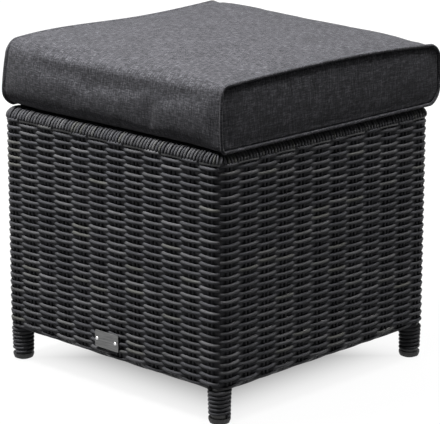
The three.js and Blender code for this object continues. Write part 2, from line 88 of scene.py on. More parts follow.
HALF = -WALL_LOW.y
FLAT_HALF = CORNER_LOW.x
CORNER_RADIUS = HALF - FLAT_HALF
SKIRT_BOTTOM = CORNER_LOW.z
RIM_LINE = RIM_LOW.z
DECK_TOP = DECK_HIGH.z
RIM_RADIUS = DECK_TOP - RIM_LINE

# The skirt's wall
FIRST_ROW_TOP = RIM_LINE + 0.0035
HEM_ROLL = 0.008
ARCH_RISE = SIDE_LOW.z - SKIRT_BOTTOM

# Strands and stake pairs
STAKES_A_SIDE = 12
STAKES = 4 * STAKES_A_SIDE
STRAND_RISE = 0.0025
LOW_RISE = STRAND_RISE * 0.8
STAKE_WIDTH = 0.0040
STAKE_RISE = 0.0016
STAKE_DEPTH = 0.0050
STAKE_POINTS = 60
PAIR_SPACING = 0.0068

# Wefts. The swing is 1 where a weft is out over a stake pair and about -0.7 where it is in behind
# the next one. WEAVE_SWING is how much deeper it lies where the swing is less by 1.
WEFT_ROWS = 58
WEFT_STEPS_A_STAKE = 12
SWING_FLATNESS = 0.8
SWING_LEAN = 0.25
SWING_PLACES = [-0.71, -0.2, 0.25, 0.65, 1]
SWING_WIDTHS = [0.0112, 0.0092, 0.0065, 0.0050, 0.0049]
WEAVE_SWING = 0.0034
BACK_DROP = 0.0004
# The waves that unsettle a row: size, radians a metre and radians from one row to the next
WOBBLES = [(0.0002, 61.0, 2.1), (0.00015, 23.0, 5.7)]

# A strand's tint starts at DARK_TINTS. Painted shade: the tint falls towards 0, near black, where
# the strand lies deep in the weave, and the stakes are darkened the same way.
DARK_TINTS = 0.2
TINT_POWER = 1.6
STAKE_SHADE = 0.45
BEHIND_SHADE = 0.10
SHADE_PLACES = [-0.7, 0.35]

# Lengths round the outline. A span is one side with one corner.
ARC = CORNER_RADIUS * math.pi / 2
STRAIGHT = 2 * FLAT_HALF
SPAN = STRAIGHT + ARC
AROUND = 4 * SPAN
STAKE_PITCH = AROUND / STAKES

RNG = np.random.default_rng(7)


def span_and_place(along):
    """Which span a place round the outline is on, and how far it is from that span's start."""
    along = np.mod(np.asarray(along, float) + STRAIGHT / 2, AROUND)
    quarter = np.floor(along / SPAN).astype(int) % 4
    return quarter, along - quarter * SPAN


def outline(along):
    """Points and outward directions round the rounded square, from the middle of the front,
    anticlockwise."""
    quarter, local = span_and_place(along)
    on_arc = local > STRAIGHT
    angle = np.where(on_arc, (local - STRAIGHT) / CORNER_RADIUS, 0.0) - math.pi / 2
    out_x, out_y = np.cos(angle), np.sin(angle)
    x = np.where(on_arc, FLAT_HALF + CORNER_RADIUS * out_x, local - FLAT_HALF)
    y = np.where(on_arc, -FLAT_HALF + CORNER_RADIUS * out_y, -HALF)
    turn = quarter * math.pi / 2
    c, s = np.cos(turn), np.sin(turn)
    return x * c - y * s, x * s + y * c, out_x * c - out_y * s, out_x * s + out_y * c


def arch(along):
    """How far the skirt's lower edge rises at a place round the outline: only at left and right."""
    quarter, local = span_and_place(along)
    across = np.clip(local / (STRAIGHT / 2) - 1, -1, 1)
    return np.where(quarter % 2 == 1, ARCH_RISE * np.sqrt(1 - across**2), 0.0)


def wall_profile(share, along):
    """Inset, height and bend down the wall: share 0 at the rim line, 1 at the rolled hem's end."""
    low = SKIRT_BOTTOM + arch(along)
    straight = FIRST_ROW_TOP - low - HEM_ROLL
    length = straight + HEM_ROLL * math.pi / 2
    down = share * length
    bent = np.clip((down - straight) / HEM_ROLL, 0, math.pi / 2)
    z = np.where(down < straight, FIRST_ROW_TOP - down, low + HEM_ROLL * (1 - np.sin(bent)))
    over = np.clip(z - RIM_LINE, 0, RIM_RADIUS)
    inset = HEM_ROLL * (1 - np.cos(bent)) + RIM_RADIUS - np.sqrt(RIM_RADIUS**2 - over**2)
    return inset, z, bent


def wall_ways(ox, oy, bent):
    """The way out of the wall or of the rolled hem, and the way up along it."""
    c, s = np.cos(bent), np.sin(bent)
    return np.stack([ox * c, oy * c, -s], 1), np.stack([ox * s, oy * s, c], 1)


# Mesh helpers
def new_object(name, verts, faces, material, smooth=True, middle=BODY_MIDDLE):
    mesh = bpy.data.meshes.new(name)
    placed = np.asarray(verts, float) + np.array(middle)
    mesh.from_pydata([tuple(v) for v in placed], [], [tuple(f) for f in faces])
    mesh.validate()
    if smooth:
        mesh.polygons.foreach_set("use_smooth", [True] * len(mesh.polygons))
    mesh.materials.append(material)
    obj = bpy.data.objects.new(name, mesh)
    bpy.context.scene.collection.objects.link(obj)
    return obj


def grid_faces(rows, columns, close_rows=False, close_columns=True, flip=False, first=0):
    """The faces of a grid whose points are numbered row by row from first."""
    row = np.arange(rows if close_rows else rows - 1)[:, None]
    column = np.arange(columns if close_columns else columns - 1)
    next_row, next_column = (row + 1) % rows, (column + 1) % columns
    corners = [(row, column), (next_row, column), (next_row, next_column), (row, next_column)]
    faces = np.stack([first + r * columns + c for r, c in corners], -1).reshape(-1, 4)
    return (faces[:, [0, 3, 2, 1]] if flip else faces).tolist()


def point_values(obj, name, kind, values):
    """Give each point of a mesh its own number or vector."""
    attribute = obj.data.attributes.new(name, kind, "POINT")
    key = "value" if kind == "FLOAT" else "vector"
    attribute.data.foreach_set(key, np.asarray(values).astype(np.float32).ravel())


def face_outwards(obj, edit=None):
    """Turn a mesh's faces outwards, after another edit of it where one is given."""
    mesh = bmesh.new()
    mesh.from_mesh(obj.data)
    if edit:
        edit(mesh)
    bmesh.ops.recalc_face_normals(mesh, faces=mesh.faces)
    mesh.to_mesh(obj.data)
    mesh.free()


class Strands:
    """Half-round strands, each swept along points with its flat side inwards, in one mesh."""

    # The section's points, as shares of half the width and of the rise
    SECTION_SHARES = np.array([
        (-1.0, 0.0), (-0.86, 0.55), (-0.42, 0.93), (0.1, 1.0),
        (0.55, 0.85), (0.9, 0.5), (1.0, 0.0)])

    def __init__(self):
        self.verts, self.faces, self.tints, self.count = [], [], [], 0

    def add(self, points, side, out, width, rise, closed=False, tint=None, shade=1.0):
        """points are N by 3. Each other value may be one for the strand or one for each point."""
        n, m = len(points), len(self.SECTION_SHARES)
        side, out = (np.broadcast_to(np.asarray(way, float), (n, 3)) for way in (side, out))
        width = np.broadcast_to(width, n).reshape(n, 1, 1) / 2
        rise = np.broadcast_to(rise, n).reshape(n, 1, 1)
        across, up = self.SECTION_SHARES[None, :, :1], self.SECTION_SHARES[None, :, 1:]
        rings = points[:, None] + side[:, None] * width * across + out[:, None] * rise * up
        self.verts.append(rings.reshape(-1, 3))
        self.faces += grid_faces(n, m, close_rows=closed, first=self.count)
        if not closed:
            last = self.count + (n - 1) * m
            self.faces.append(list(range(self.count, self.count + m)))
            self.faces.append(list(range(last, last + m))[::-1])
        self.count += n * m
        tint = RNG.random() if tint is None else tint
        # Painted shade: shade darkens the strand's tint where it lies deep in the weave.
        value = np.broadcast_to(shade * (DARK_TINTS + (1 - DARK_TINTS) * tint), n)
        self.tints.append(np.repeat(value, m))

    def build(self, name):
        obj = new_object(name, np.concatenate(self.verts), self.faces, WICKER)
        # The tint attribute holds the strand's tint darkened by its painted shade.
        point_values(obj, "tint", "FLOAT", np.concatenate(self.tints))
        face_outwards(obj)
        return obj


# Materials
class Nodes:
    """A short way to write the nodes of a material or of the world."""

    def __init__(self, owner, shader="Principled BSDF"):
        owner.use_nodes = True
        self.owner = owner
        self.tree = owner.node_tree
        self.shader = self.tree.nodes[shader]

    def fill(self, node, inputs):
        """Link each input to a socket, or give it a value of its own."""
        for key, value in inputs.items():
            if isinstance(value, bpy.types.NodeSocket):
                self.tree.links.new(value, node.inputs[key])
            else:
                node.inputs[key].default_value = value

    def node(self, kind, inputs=None, **settings):
        made = self.tree.nodes.new(kind)
        for key, value in settings.items():
            setattr(made, key, value)
        self.fill(made, inputs or {})
        return made

    def noise(self, vector, scale=1.0, detail=2.0, roughness=0.5):
        inputs = {"Vector": vector, "Scale": scale, "Detail": detail, "Roughness": roughness}
        return self.node("ShaderNodeTexNoise", inputs).outputs["Fac"]

    def scaled(self, vector, x, y, z):
        inputs = {"Vector": vector, "Scale": (x, y, z)}
        return self.node("ShaderNodeMapping", inputs).outputs["Vector"]

    def math(self, operation, a, b=0.0):
        return self.node("ShaderNodeMath", {0: a, 1: b}, operation=operation).outputs[0]

    def ramp(self, fac, stops):
        made = self.node("ShaderNodeValToRGB", {"Fac": fac})
        elements = made.color_ramp.elements
        while len(elements) < len(stops):
            elements.new(0.5)
        for element, (place, colour) in zip(elements, stops):
            element.position = place
            element.color = (*colour, 1)
        return made.outputs["Color"]

    def grey_ramp(self, fac, low, high):
        """From one grey to another, over the middle of a noise's range."""
        return self.ramp(fac, [(0.3, grey(low)), (0.7, grey(high))])

    def map_range(self, value, start, end, low, high, **settings):
        inputs = {"Value": value, "From Min": start, "From Max": end, "To Min": low, "To Max": high}
        return self.node("ShaderNodeMapRange", inputs, **settings).outputs["Result"]

    def mix(self, fac, a, b, blend="MIX"):
        inputs = {0: fac, 6: a, 7: b}
        return self.node("ShaderNodeMix", inputs, data_type="RGBA", blend_type=blend).outputs[2]

    def multiply(self, a, b):
        return self.mix(1.0, a, b, "MULTIPLY")

    def bump(self, height, strength, distance):
        inputs = {"Height": height, "Strength": strength, "Distance": distance}
        return self.node("ShaderNodeBump", inputs).outputs["Normal"]

    def seen(self):
        """1 for rays from the camera, a mirror or glass, and 0 for all others."""
        rays = self.node("ShaderNodeLightPath").outputs
        clear = self.math("MAXIMUM", rays["Is Glossy Ray"], rays["Is Transmission Ray"])
        return self.math("MAXIMUM", rays["Is Camera Ray"], clear)


def grey(value, warm=0.0):
    return (value * (1 + warm), value, value * (1 - warm))


def wicker_material():
    """Extruded resin strand: charcoal, strand to strand a little lighter, olive or brown, with
    fine lengthwise grain, and painted shade where a strand lies deep in the weave."""
    m = Nodes(bpy.data.materials.new("wicker"))
    place = m.node("ShaderNodeTexCoord").outputs["Object"]
    # The tint attribute is each strand's own tint darkened by painted shade deep in the weave, so
    # the body ramp carries that painted shade too.
    tint = m.node("ShaderNodeAttribute", attribute_name="tint").outputs["Fac"]
    body = m.ramp(tint, [
        (DARK_TINTS, (0.085, 0.085, 0.096)), (0.52, (0.116, 0.115, 0.125)),
        (0.76, (0.154, 0.153, 0.161)), (0.90, (0.192, 0.190, 0.200)),
        (0.95, (0.168, 0.168, 0.158)), (1.0, (0.194, 0.193, 0.177))])
    cloud = m.grey_ramp(m.noise(place, 38.0, detail=3.0), 0.72, 1.25)
    grain = m.noise(m.scaled(place, 260, 260, 1900), detail=3.0, roughness=0.6)
    grain_colour = m.ramp(grain, [(0.35, grey(0.04, -0.03)), (0.7, grey(0.19, -0.02))])
    # Painted shade: near black where the tint attribute falls below DARK_TINTS, deep in the weave.
    behind = m.ramp(tint, [(0.0, grey(0.06)), (DARK_TINTS, grey(1.0))])
    m.fill(m.shader, {
        "Base Color": m.multiply(m.mix(0.3, m.multiply(body, cloud), grain_colour), behind),
        "Roughness": m.ramp(m.noise(place, 90.0), [(0.25, grey(0.30)), (0.75, grey(0.44))]),
        "Normal": m.bump(grain, 0.25, 0.0004),
        "Specular IOR Level": 0.05})
    return m.owner


def fabric_material():
    """Outdoor melange canvas: pale and dark slub yarns both ways on a charcoal ground."""
    m = Nodes(bpy.data.materials.new("fabric"))
    place = m.node("ShaderNodeAttribute", attribute_name="cloth").outputs["Vector"]
    warp = m.noise(m.scaled(place, 640, 90, 1), roughness=0.6)
    weft = m.noise(m.scaled(place, 90, 640, 9), roughness=0.6)
    speck = m.noise(m.scaled(place, 620, 620, 1), detail=1.0)
    slub = m.math("ADD", warp, weft)
    yarn = m.math("ADD", m.math("MULTIPLY", slub, 0.39), m.math("MULTIPLY", speck, 0.22))
    colour = m.ramp(yarn, [
        (0.40, (0.026, 0.026, 0.029)), (0.47, (0.049, 0.049, 0.054)),
        (0.53, (0.075, 0.074, 0.083)), (0.61, (0.16, 0.16, 0.172))])
    blotch = m.grey_ramp(m.noise(m.scaled(place, 22, 22, 1), detail=3.0), 0.86, 1.12)
    threads = [
        m.node("ShaderNodeTexWave", {"Vector": place, "Scale": 300.0, "Distortion": 0.6},
               wave_type="BANDS", bands_direction=way).outputs["Fac"] for way in "XY"]
    height = m.math("ADD", m.math("MULTIPLY", m.math("ADD", *threads), 0.35), slub)
    m.fill(m.shader, {
        "Base Color": m.multiply(colour, blotch),
        "Normal": m.bump(height, 0.55, 0.0006),
        "Roughness": 0.9,
        "Sheen Weight": 0.12,
        "Sheen Roughness": 0.4,
        "Specular IOR Level": 0.12})
    return m.owner


def plain_material(name, low, high, roughness, metallic, scale, bump, stretch=(1, 1, 1)):
    """A moulded or metal surface mottled between two greys, for the small hardware."""
    m = Nodes(bpy.data.materials.new(name))
    place = m.scaled(m.node("ShaderNodeTexCoord").outputs["Object"], *stretch)
    mottle = m.noise(place, scale, detail=4.0, roughness=0.6)
    wear = m.noise(place, scale * 0.4)
    m.fill(m.shader, {
        "Base Color": m.grey_ramp(mottle, low, high),
        "Roughness": m.grey_ramp(wear, roughness * 0.85, roughness * 1.15),
        "Normal": m.bump(mottle, bump, 0.0003),
        "Metallic": metallic})
    return m.owner


WICKER = wicker_material()
FABRIC = fabric_material()
FRAME_PAINT = plain_material("frame_paint", 0.014, 0.03, 0.42, 0.0, 900.0, 0.2)
FOOT_PLASTIC = plain_material("foot_plastic", 0.010, 0.022, 0.6, 0.0, 700.0, 0.25)
BRUSHED = plain_material("brushed_plate", 0.10, 0.20, 0.42, 0.85, 900.0, 0.2, (0.06, 1, 1))
SCREW_STEEL = plain_material("screw_steel", 0.55, 0.75, 0.25, 1.0, 500.0, 0.1)
ZIP_TAPE = plain_material("zip_tape", 0.012, 0.035, 0.8, 0.0, 1500.0, 0.5, (1, 1, 0.2))
ZIP_METAL = plain_material("zip_metal", 0.28, 0.42, 0.32, 0.9, 600.0, 0.15)


def dress(names, material):
    """Give pieces that stay as the frame draws them their material and slot."""
    for name in names:
        node = frame["nodes"][name]
        node.data.materials.clear()
        node.data.materials.append(material)


dress([f"post_{c}" for c in CORNERS]
      + [f"{tube}_tube_{s}" for tube in ("upper", "lower") for s in SIDES]
      + [f"deck_slat_{i}" for i in (1, 2, 3)], FRAME_PAINT)
dress([f"foot_{c}" for c in CORNERS], FOOT_PLASTIC)


# The woven skirt
def swing(along, row):
    """Out over one stake pair and in behind the next, one row opposite to the next."""
    wave = np.cos(math.pi * (along / STAKE_PITCH - 0.5) + math.pi * row)
    return (np.tanh(SWING_FLATNESS * (wave + SWING_LEAN))
            / math.tanh(SWING_FLATNESS * (1 + SWING_LEAN)))


def stroke_tint(along, row):
    """A tint for each stretch of a weft that shows over a stake pair, and the same on every run."""
    stroke = np.floor(along / STAKE_PITCH / 2 + row * 0.5)
    # The large numbers only scatter the stroke's and the row's own numbers between 0 and 1
    return np.mod(np.sin(stroke * 12.9898 + row * 78.233) * 43758.5453, 1.0) ** TINT_POWER


def weft_row(strands, row, first):
    """One weft row along one span, on the wall or in the rolled hem."""
    along = np.linspace(first, first + SPAN, STAKES_A_SIDE * WEFT_STEPS_A_STAKE + 1)
    inset, z, bent = wall_profile((row + 0.5) / WEFT_ROWS, along)
    s = swing(along, row)
    depth = inset + STRAND_RISE + WEAVE_SWING * (1 - s * np.cos(bent))
    wobble = sum(size * np.sin(along * rate + row * shift) for size, rate, shift in WOBBLES)
    drop = BACK_DROP * (1 - s) / 2 * np.cos(bent)
    x, y, ox, oy = outline(along)
    points = np.stack([x - ox * depth, y - oy * depth, z + wobble - drop], 1)
    out, side = wall_ways(ox, oy, bent)
    width = np.interp(s, SWING_PLACES, SWING_WIDTHS)
    # Painted shade: the weft is darker where it lies deep, behind the stake pairs.
    shade = np.interp(s, SHADE_PLACES, [BEHIND_SHADE, 1])
    tint = stroke_tint(along, row)
    strands.add(points, side, out, width, STRAND_RISE, tint=tint, shade=shade)


def wefts():
    """The wefts are split into four pieces at the corners' middles."""
    made = []
    for quarter, (side_name, corner_name) in enumerate(zip(SIDES, CORNERS)):
        strands = Strands()
        for row in range(WEFT_ROWS):
            weft_row(strands, row, quarter * SPAN - SPAN / 2)
        obj = strands.build(f"weft_strands_{side_name}")
        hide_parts(f"weave_{side_name}", f"weave_corner_{corner_name}")
        made.append(obj)
    return made


def stakes():
    """Pairs of upright strands that the wefts pass in front of and behind."""
    strands = Strands()
    share = np.linspace(0, 1.0, STAKE_POINTS)
    for stake in range(STAKES):
        middle = (stake + 0.5) * STAKE_PITCH
        for way in (-1, 1):
            along = np.full_like(share, middle + way * PAIR_SPACING / 2)
            inset, z, bent = wall_profile(share, along)
            x, y, ox, oy = outline(along)
            depth = inset + STAKE_DEPTH
            points = np.stack([x - ox * depth, y - oy * depth, z], 1)
            out, _ = wall_ways(ox, oy, bent)
            side = np.stack([-oy, ox, 0 * ox], 1)
            # Painted shade: the stakes lie deep in the weave and their tint is darkened.
            strands.add(points, side, out, STAKE_WIDTH, STAKE_RISE, shade=STAKE_SHADE)
    return strands.build("stake_strands")


RIM_WRAPS = STAKES * 6
RIM_ARC_POINTS = 10
RIM_PROUD = 0.0010
RIM_START = 0.15
RIM_TUCK = 0.0016
RIM_TUCK_REACH = 0.25
RIM_WIDTH_SHARE = 0.74
RIM_LEAST_SPREAD = 0.12
RIM_LEAST_WIDTH = 0.0006
RIM_JITTER = 0.0007
RIM_JITTER_STEP = 3.7
RIM_CORE_DEPTH = 0.0024
RIM_CORE_STEPS = STAKES * 4
RIM_CORE_ARC_POINTS = 8
DECK_LAP = 0.014


def rim_wraps():
    """Strands bound side by side over the rim, from the first weft row to just inside the deck."""
    strands = Strands()
    radius = RIM_RADIUS - STRAND_RISE + RIM_PROUD
    angles = np.linspace(RIM_START, math.pi / 2, RIM_ARC_POINTS)
    tuck = RIM_TUCK * np.clip(1 - (angles - RIM_START) / RIM_TUCK_REACH, 0, 1)
    inward = RIM_RADIUS - (radius - tuck) * np.cos(angles)
    inward = np.append(inward, inward[-1] + DECK_LAP)
    z = RIM_LINE + radius * np.sin(angles)
    z = np.append(z, z[-1] - RIM_PROUD)
    angles = np.append(angles, math.pi / 2)
    c, s = np.cos(angles), np.sin(angles)
    for i in range(RIM_WRAPS):
        x, y, ox, oy = (float(v) for v in outline((i + 0.5) * AROUND / RIM_WRAPS))
        tx, ty = -oy, ox
        jitter = RIM_JITTER * math.sin(i * RIM_JITTER_STEP)
        points = np.stack([
            x - ox * inward + tx * jitter * s, y - oy * inward + ty * jitter * s, z], 1)
        out = np.stack([ox * c, oy * c, s], 1)
        on_arc = abs(abs(ox) - 1) > 1e-6 and abs(abs(oy) - 1) > 1e-6
        spread = np.maximum(1 - (inward / CORNER_RADIUS if on_arc else 0 * inward),
                            RIM_LEAST_SPREAD)
        width = np.maximum(AROUND / RIM_WRAPS * RIM_WIDTH_SHARE * spread, RIM_LEAST_WIDTH)
        strands.add(points, (tx, ty, 0), out, width, STRAND_RISE)
    obj = strands.build("rim_wraps")
    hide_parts(*[f"rim_{s}" for s in SIDES], *[f"rim_corner_{c}" for c in CORNERS])
    return obj


def rim_core():
    """The smooth roll under the wraps, seen only as the dark between them."""
    x, y, ox, oy = outline(np.linspace(0, AROUND, RIM_CORE_STEPS, endpoint=False))
    angles = np.linspace(0, math.pi / 2, RIM_CORE_ARC_POINTS)
    rings = [(a, RIM_CORE_DEPTH) for a in angles] + [(a, 2 * RIM_CORE_DEPTH) for a in angles[::-1]]
    verts = []
    for angle, depth in rings:
        radius = RIM_RADIUS - depth
        inward = RIM_RADIUS - radius * math.cos(angle)
        z = RIM_LINE + radius * math.sin(angle)
        verts += [(a - c * inward, b - d * inward, z) for a, b, c, d in zip(x, y, ox, oy)]
    faces = grid_faces(len(rings), RIM_CORE_STEPS, close_rows=True, flip=True)
    return new_object("rim_core", verts, faces, FRAME_PAINT)


HEM_STRAND_WIDTH = 0.0050
HEM_STRAND_STEPS = STAKES * 8
HEM_STRAND_OFFSET = 0.001


def hem_edge():
    """A single strand laid round the lower edge, inside the last row."""
    strands = Strands()
    along = np.linspace(-SPAN / 2, AROUND - SPAN / 2, HEM_STRAND_STEPS, endpoint=False)
    inset, z, _ = wall_profile(1.0, along)
    x, y, ox, oy = outline(along)
    depth = inset + STRAND_RISE + HEM_STRAND_OFFSET
    points = np.stack([x - ox * depth, y - oy * depth, z + HEM_STRAND_OFFSET], 1)
    side = np.stack([ox, oy, 0 * ox], 1)
    strands.add(points, side, (0, 0, -1), HEM_STRAND_WIDTH, LOW_RISE, closed=True)
    return strands.build("hem_strand")


# The woven deck under the cushion
DECK_ROWS = 70
DECK_STEPS = STAKES_A_SIDE * 8
DECK_SINK = 0.0012
DECK_STAKE_LIFT = 0.0006
DECK_WEFT_LIFT = 0.0009
DECK_SWING = 0.0013
DECK_FLATNESS = 1.7
# Weft width in rows: at the swing's middle, and how much less where the swing is 1
DECK_WIDTH_SHARE = 1.28
DECK_WIDTH_DROP = 0.24


def deck():
    """Wefts from left to right over and under pairs of stakes."""
    strands = Strands()
    reach = FLAT_HALF + CORNER_RADIUS - RIM_RADIUS
    pitch = 2 * reach / DECK_ROWS
    z0 = DECK_TOP - STRAND_RISE - STAKE_RISE - DECK_SINK
    up = (0, 0, 1)
    x = np.linspace(-reach, reach, DECK_STEPS + 1)
    for row in range(DECK_ROWS):
        y = -reach + (row + 0.5) * pitch
        wave = np.cos(math.pi * (x / STAKE_PITCH + 0.5) + math.pi * row)
        s = np.tanh(DECK_FLATNESS * wave) / math.tanh(DECK_FLATNESS)
        points = np.stack([x, np.full_like(x, y), z0 + DECK_WEFT_LIFT + DECK_SWING * s], 1)
        width = pitch * (DECK_WIDTH_SHARE - DECK_WIDTH_DROP * s)
        strands.add(points, (0, 1, 0), up, width, LOW_RISE, tint=stroke_tint(x, row))
    y = np.linspace(-reach, reach, 3)
    for stake in range(STAKES_A_SIDE):
        for way in (-1, 1):
            x0 = (stake - (STAKES_A_SIDE - 1) / 2) * STAKE_PITCH + way * PAIR_SPACING / 2
            points = np.stack([np.full_like(y, x0), y, np.full_like(y, z0 + DECK_STAKE_LIFT)], 1)
            strands.add(points, (1, 0, 0), up, STAKE_WIDTH, STAKE_RISE)
    obj = strands.build("deck_strands")
    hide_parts("deck_weave")
    return obj


# Legs
WINDING_TURNS = 6.7
WINDING_STEPS_A_TURN = 28
WINDING_WIDTH = 0.0056
WINDING_RISE = 0.0031
WINDING_GAP = 0.0003
WINDING_FLARE = 0.0013
# How far the winding runs past its frame box, below and above
WINDING_PAST_LOW = 0.0002
WINDING_PAST_TOP = 0.004
# The turns' tints start here, spread this far and step by this share of the spread
WINDING_TINT, WINDING_TINT_SPREAD, WINDING_TINT_STEP = 0.25, 0.35, 0.37


def leg_windings():
    """A strand wound up each post, from the foot into the skirt."""
    made = []
    turns = np.linspace(0, WINDING_TURNS, int(WINDING_TURNS * WINDING_STEPS_A_TURN))
    tint = WINDING_TINT + WINDING_TINT_SPREAD * np.mod(np.floor(turns) * WINDING_TINT_STEP, 1.0)
    for quarter, corner in enumerate(CORNERS):
        low, high = box(f"post_{corner}")
        centre = (low + high) / 2
        winding_low, winding_high = box(f"leg_winding_{corner}")
        start = winding_low.z + WINDING_WIDTH / 2 - WINDING_PAST_LOW
        end = winding_high.z - WINDING_WIDTH / 2 + WINDING_PAST_TOP
        angle = turns * 2 * math.pi + quarter * math.pi / 2
        c, s = np.cos(angle), np.sin(angle)
        z = start + (end - start) * turns / turns[-1]
        flare = WINDING_FLARE * (turns / turns[-1]) ** 2
        radius = (high.x - low.x) / 2 + WINDING_GAP + flare
        points = np.stack([centre.x + radius * c, centre.y + radius * s, z], 1)
        out = np.stack([c, s, 0 * c], 1)
        strands = Strands()
        strands.add(points, (0, 0, 1), out, WINDING_WIDTH, WINDING_RISE, tint=tint)
        obj = strands.build(f"leg_wrap_{corner}")
        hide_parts(f"leg_winding_{corner}")
        made.append(obj)
    return made


for woven in [*wefts(), stakes(), rim_wraps(), rim_core(), hem_edge(), deck(), *leg_windings()]:
    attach(woven, "base")

# Badge plate and its screws
BADGE_RADIUS = 0.002
BADGE_CHAMFER = 0.0004
BADGE_CORNER_STEPS = 5


def badge():
    """A bare brushed plate with rounded corners and a chamfered edge."""
    width, height = BADGE_HIGH.x - BADGE_LOW.x, BADGE_HIGH.z - BADGE_LOW.z
    centre_z = (BADGE_HIGH.z + BADGE_LOW.z) / 2
    flat_x, flat_z = width / 2 - BADGE_RADIUS, height / 2 - BADGE_RADIUS
    ring = []
    for corner, (sx, sz) in enumerate(((1, 1), (-1, 1), (-1, -1), (1, -1))):
        for step in range(BADGE_CORNER_STEPS + 1):
            a = math.pi / 2 * (corner + step / BADGE_CORNER_STEPS)
            ring.append((sx * flat_x + BADGE_RADIUS * math.cos(a),
                         sz * flat_z + BADGE_RADIUS * math.sin(a)))
    levels = ((BADGE_HIGH.y, 0.0), (BADGE_LOW.y + BADGE_CHAMFER, 0.0),
              (BADGE_LOW.y, BADGE_CHAMFER))
    verts = []
    for y, inset in levels:
        shrink_x, shrink_z = 1 - 2 * inset / width, 1 - 2 * inset / height
        verts += [(x * shrink_x, y, centre_z + z * shrink_z) for x, z in ring]
    n = len(ring)
    faces = grid_faces(len(levels), n, flip=True)
    faces += [tuple(range(n))[::-1], tuple(range(2 * n, 3 * n))]
    obj = new_object("badge_face", verts, faces, BRUSHED, smooth=False)
    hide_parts("badge_plate")
    return obj


badge_face = badge()
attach(badge_face, "base")
dress(["badge_screw_left", "badge_screw_right"], SCREW_STEEL)
dress(["zip_slider", "zip_pull"], ZIP_METAL)
dress(["zip_chain"], ZIP_TAPE)

# Cushion sizes
HALF_X = COVER_HIGH.x
HALF_Y = 0.2175
CUSHION_LOW = COVER_LOW.z
EDGE_HEIGHT = 0.089
CROWN = 0.012
END_BOW = 0.005
PULL_IN = 0.002
BULGE = 0.003
# How the back corners rise on the left and drop on the right
CORNER_RISE = 0.012
CORNER_DROP = 0.004
# A low hump at the left end, towards the front
LEFT_RISE = 0.0060
LEFT_RISE_AT = -0.150
LEFT_RISE_WIDTH = 0.13
# How the front left corner leans back above a share of the height
LEFT_LEAN = 0.014
LEFT_LEAN_FROM = 0.15
# Edge radii, at the middle and at the ends by the end's side in X and the edge's in Y
TOP_RADIUS = 0.014
BOTTOM_RADIUS = 0.017
END_TOP_RADII = {(-1, -1): 0.018, (-1, 1): 0.022, (1, -1): 0.009, (1, 1): 0.019}
END_BOTTOM_RADII = {(-1, -1): 0.026, (-1, 1): 0.020, (1, -1): 0.009, (1, 1): 0.024}
MIDDLE_RADII_RATE = 1.6

PIPING_RADIUS = (PIPING_HIGH.x - PIPING_LOW.x) / 2
SEAM_X = (PIPING_HIGH.x + PIPING_LOW.x) / 2

# Cloth simulation
CLOTH_HALF_X = SEAM_X - 0.0010
START_INSET = 0.0008
START_CROWN_SHARE = 0.62
START_STATIONS = 40
CLOTH_CELL = 0.005
CLOTH_FRAMES = 20
CLOTH_PRESSURE = 4.0
CLOTH_SHRINK = -0.005
CLOTH_QUALITY = 5
CLOTH_BENDING = 2.0
CLOTH_REACH = 0.006
# Where the cloth is held: at the seams, round the zip and in the lowest few millimetres
HELD_REACH = 0.010
HELD_FULL = 1.25
HELD_UNDER = 0.004
HELD_LEAST = 0.02
ZIP_MARGIN_Z = 0.004
ZIP_MARGIN_Y = 0.006


def ease(t):
    return t * t * (3 - 2 * t)


def section(x, inset=0.0, crown_share=1.0, corner_points=10, flat_points=24):
    """The cushion's outline in Y and Z at one place along X, as the frame part draws it, with
    more points."""
    along = max(0.0, 1 - (x / HALF_X) ** 2)
    half_y = HALF_Y - PULL_IN * along - inset
    bow = (END_BOW + (CROWN - END_BOW) * along) * crown_share
    low, high = CUSHION_LOW + inset, CUSHION_LOW + EDGE_HEIGHT - inset
    end = 1 if x > 0 else -1
    toward_middle = ease(min(along * MIDDLE_RADII_RATE, 1.0))

    def radii(at_end, at_middle):
        return {way: at_end[end, way] * (1 - toward_middle) + at_middle * toward_middle - inset
                for way in (-1, 1)}

    top, bottom = radii(END_TOP_RADII, TOP_RADIUS), radii(END_BOTTOM_RADII, BOTTOM_RADIUS)
    points = []

    def arc(way, z, radius, start):
        y = way * (half_y - radius)
        for i in range(corner_points + 1):
            a = start + math.pi / 2 * i / corner_points
            points.append((y + radius * math.cos(a), z + radius * math.sin(a)))

    def run(a, b, count):
        for i in range(1, count):
            t = i / count
            points.append((a[0] + (b[0] - a[0]) * t, a[1] + (b[1] - a[1]) * t))

    arc(1, high - top[1], top[1], 0)
    run((half_y - top[1], high), (top[-1] - half_y, high), flat_points)
    arc(-1, high - top[-1], top[-1], math.pi / 2)
    run((-half_y, high - top[-1]), (-half_y, low + bottom[-1]), flat_points // 4)
    arc(-1, low + bottom[-1], bottom[-1], math.pi)
    run((bottom[-1] - half_y, low), (half_y - bottom[1], low), flat_points)
    arc(1, low + bottom[1], bottom[1], 1.5 * math.pi)
    run((half_y, low + bottom[1]), (half_y, high - top[1]), flat_points // 4)
    y, z = np.array(points).T
    height = (z - CUSHION_LOW) / EDGE_HEIGHT
    side = y / HALF_Y
    left, right = max(0.0, -x / HALF_X), max(0.0, x / HALF_X)
    left_share = np.clip((1 - x / HALF_X) / 2, 0, 1)
    swell = BULGE * 4 * height * (1 - height) * np.abs(side) ** 4
    corner = (CORNER_RISE * left_share**1.5 - CORNER_DROP * right**2) * np.maximum(0, side) ** 2
    hump = LEFT_RISE * left**3 * np.exp(-(((y - LEFT_RISE_AT) / LEFT_RISE_WIDTH) ** 2))
    lean = LEFT_LEAN * left**6 * np.maximum(0, -side) ** 3 * np.maximum(0, height - LEFT_LEAN_FROM)
    rise = bow * (1 - side**2) + (corner + hump)
    return y + np.sign(y) * swell + lean, z + rise * ease(np.clip(height, 0, 1))


